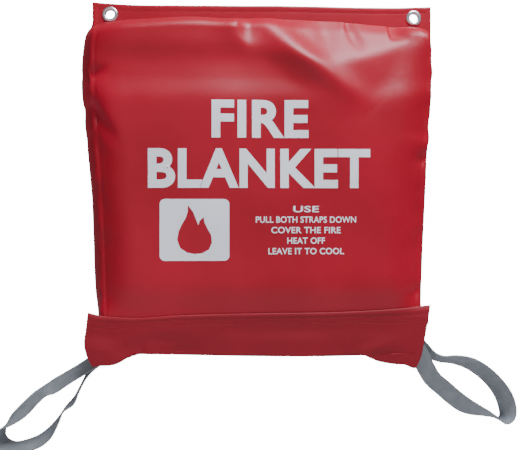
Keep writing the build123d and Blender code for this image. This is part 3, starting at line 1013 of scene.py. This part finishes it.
STRAP_ROWS = 420
BOX_X, BOX_Y, BOX_Z = 168.0, -46.95, -416.0      # middle of each box of stitches
DIAGONAL = 0.7071        # both parts of a unit step at 45 degrees
BOX_CORNERS = [(-24, -9), (24, -9), (24, 9), (-24, 9), (-24, -9), (24, 9), (24, -9), (-24, 9)]
straps = (("left", LEFT_STRAP, (-0.213, -0.035, -0.462), (-0.240, -0.029, -0.486)),
          ("right", RIGHT_STRAP, (0.206, -0.041, -0.458), (0.229, -0.034, -0.486)))
for name, stations, start, end in straps:
    strap = sheet_from_rule(name + "_strap", 10, STRAP_ROWS - 1, strap_rule(stations, STRAP_ROWS))
    give_thickness(strap, WEBBING_THICKNESS, 0)
    dress(strap, WEBBING, "strap_webbing", None, name + "_strap_tail", name + "_hand_loop")
    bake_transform(strap)

    side = -1 if name == "left" else 1
    middle = np.array([side * BOX_X, BOX_Z])
    along = np.array([side * DIAGONAL, -DIAGONAL])
    over = np.array([DIAGONAL, side * DIAGONAL])
    box = [middle + along * a + over * b for a, b in BOX_CORNERS]
    rows = []
    for first, second in zip(box[:-1], box[1:]):
        x, z = (first + (second - first) * np.linspace(0, 1, 12)[:, None]).T
        rows.append(stitch_row("box_row", np.column_stack([x, np.full(12, BOX_Y), z])))
    box_stitches = join(name + "_strap_stitches", rows)
    dress(box_stitches, GREY_THREAD, "strap_thread", "blanket", name + "_strap_stitching")


# ---------------------------------------------------------------------------
# Hook-and-loop tape: a soft loop tape sewn across the front panel near its foot and a
# stiff hook tape sewn behind the flap. Pressed together, they keep the flap closed.

TAPE_GREY = woven_material("hook_and_loop_tape", (0.035, 0.038, 0.042), (0.11, 0.115, 0.125), 0.85,
                           (1400, 1400, 1400), 1.0)
TAPE_LEFT = -229.0
TAPE_RIGHT = 221.0
TAPE_WIDTH = 20.0
TAPE_DROP = 22.0         # from the flap's upper edge to the tapes' lower edge
TAPE_SHEET = 0.8


def tape_rule(off, lift):
    """A rule for a tape that lies this far in front of the panel and this much higher."""
    def rule(u, v):
        x = TAPE_LEFT + (TAPE_RIGHT - TAPE_LEFT) * u
        z = flap_top(x) - TAPE_DROP + lift + TAPE_WIDTH * v
        return x, -(panel_depth(x, z) + off), z
    return rule


FLAP_TOPS = [(-236, -407.5), (-222, -411), (-190, -414.5), (-110, -411.5), (0, -409.5), (110, -408),
             (180, -404.5), (226, -400)]
FLAP_FEET = [(-236, -481), (-222, -479), (-198, -477), (-176, -466), (-158, -461.5), (-128, -462.5),
             (-5, -466), (100, -466), (124, -464.5), (148, -474), (175, -479.5), (190, -481), (201, -486),
             (212, -482)]
LEFT_EDGES = [(0, -227), (0.18, -234), (0.45, -239), (0.7, -237), (1, -234.5)]
RIGHT_EDGES = [(0, 203), (0.12, 209), (0.35, 214), (0.6, 218), (1, 224)]


def flap_top(x):
    """Height of the flap's upper edge."""
    return through(x, FLAP_TOPS)


loop_tape = sheet_from_rule("loop_tape", 160, 8, tape_rule(0.95, -2))
give_thickness(loop_tape, TAPE_SHEET)
dress(loop_tape, TAPE_GREY, "hook_and_loop", "pouch", "loop_tape")
hook_tape = sheet_from_rule("hook_tape", 160, 8, tape_rule(1.95, -3))
give_thickness(hook_tape, TAPE_SHEET)
dress(hook_tape, TAPE_GREY, "hook_and_loop", "flap_front", "hook_tape")

rows = []
run_x = np.linspace(TAPE_LEFT + 12, TAPE_RIGHT - 12, 120)
for drop in (4.5, 16.5):
    line_z = flap_top(run_x) - 4 - drop
    rows.append(stitch_row("tape_row", panel_point(run_x, line_z, -0.75), (0, 1, 0)))
tape_stitches = join("loop_tape_stitches", rows)
dress(tape_stitches, RED_THREAD, "sewing_thread", "pouch", "loop_tape_stitching")


# ---------------------------------------------------------------------------
# Closure flap: a strip of tarpaulin from the back panel's foot, under the mouth and up over
# the front panel. Its upper edge is hemmed; its lower corners hang free beside the web,
# where the straps come out, and sag.

# The same tarpaulin as the other panels, painted darker: a painted shade for the flap and web, which face
# down and away from the light above.
FLAP_RED_PAINTED_SHADE = coated_material("flap_tarpaulin_painted_shade", (0.25, 0.0005, 0.010), (0.30, 0.001, 0.014), 0.60, 0.3)
WEB_HINGE_Z = -471.0
WEB_LAP = 14.0           # how far the web runs up behind the back panel's foot
WEB_LEFT = -158.0
WEB_RIGHT = 124.0
MEETING_Y = -26.0        # where the web's two sheets meet, halfway under the mouth
MEETING_DROP = 4.0       # how far the web sags there
UNDER_SHARE = 0.18       # share of the flap's length that lies under the mouth
FOLD_DEPTH = 52.0        # how far the fold under the mouth stands off the wall
STITCH_SHARES = (0.74, 0.86)     # heights of the two lines of stitches up the flap's face
FLAP_SHEET = 0.7
WEB_SHEET = 0.6
FLAP_FOLDS = [
    ((-160, -462), (-224, -446), -1.8, 10, 16), ((124, -465), (196, -444), 1.6, 9, 14),
    ((140, -470), (205, -462), -1.4, 8, 10), ((-120, -463), (-70, -452), -0.9, 8, 9)]


def flap_face(x, z, part):
    """Depth of the flap's face; part runs from 0 at its foot to 1 at its top."""
    upper = panel_depth(x, z) + 2.75
    lower = 52.6 + 1.2 * np.sin(x / 47 + 0.6) + 0.6 * np.sin(x / 19)
    blend = smooth_step((part - 0.30) / 0.34)
    return with_folds(lower + (np.minimum(upper, 54.5) - lower) * blend, x, z, FLAP_FOLDS)


def flap_rule(u, v):
    """The flap: the front half of the web, the fold and the standing face."""
    up = np.clip((v - UNDER_SHARE) / (1 - UNDER_SHARE), 0, 1)
    side = through(up, LEFT_EDGES) * (1 - u) + through(up, RIGHT_EDGES) * u
    foot = through(side, FLAP_FEET)
    z = foot + (flap_top(side) - foot) * up
    depth = flap_face(side, z, up)
    top_fold = np.clip((up - 0.965) / 0.035, 0, 1)
    depth = depth - 1.5 * (1 - np.sqrt(np.clip(1 - top_fold * top_fold, 0, 1)))
    depth = depth + 0.5 * np.exp(-((up - 0.93) / 0.03) ** 2)
    for share in STITCH_SHARES:
        depth = depth - 0.28 * np.exp(-((up - share) / 0.008) ** 2)
    back = np.clip(1 - v / UNDER_SHARE, 0, 1)
    web_x = WEB_LEFT + (WEB_RIGHT - WEB_LEFT) * u
    x = side + (web_x - side) * smooth_step(back / 0.25)
    under_mouth = FOLD_DEPTH + (-MEETING_Y - FOLD_DEPTH) * back
    depth = np.where(back > 0, np.minimum(depth, under_mouth), depth)
    roll = 1.6 * np.sin(math.pi * np.clip(back / 0.5, 0, 1))
    web_z = through(web_x, FLAP_FEET) - roll - MEETING_DROP * smooth_step(back)
    z = np.where(back > 0, web_z, z)
    return x, -depth, z


def web_rule(u, v):
    """The rear half of the web, from the back panel's foot to the middle of the mouth."""
    x = WEB_LEFT + (WEB_RIGHT - WEB_LEFT) * u
    up = np.clip(1 - v / 0.30, 0, 1)
    out = np.clip((v - 0.30) / 0.70, 0, 1)
    meeting_z = through(x, FLAP_FEET) - MEETING_DROP
    z = WEB_HINGE_Z + WEB_LAP * up + (meeting_z - WEB_HINGE_Z) * smooth_step(out)
    z = z - 0.6 * np.sin(math.pi * out)
    depth = 0.25 + (-MEETING_Y - 0.25) * out ** 1.4
    return x, -depth, z


web = sheet_from_rule("flap_web_sheet", 90, 30, web_rule)
give_thickness(web, WEB_SHEET, 0)
dress(web, FLAP_RED_PAINTED_SHADE, "pouch_tarpaulin", None, "flap_web")
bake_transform(web)

flap = sheet_from_rule("closure_flap_sheet", 220, 90, flap_rule)
give_thickness(flap, FLAP_SHEET)
dress(flap, FLAP_RED_PAINTED_SHADE, "pouch_tarpaulin", None, "closure_flap")
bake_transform(flap)

rows = []
line_x = np.linspace(-226, 214, 150)
line_foot = through(line_x, FLAP_FEET)
for part in STITCH_SHARES:
    line_z = line_foot + (flap_top(line_x) - line_foot) * part
    depth = flap_face(line_x, line_z, np.full(150, part)) - 0.2
    rows.append(stitch_row("flap_row", np.column_stack([line_x, -depth, line_z])))
flap_stitches = join("flap_stitches", rows)
dress(flap_stitches, RED_THREAD, "sewing_thread", "flap_front", "flap_stitching")
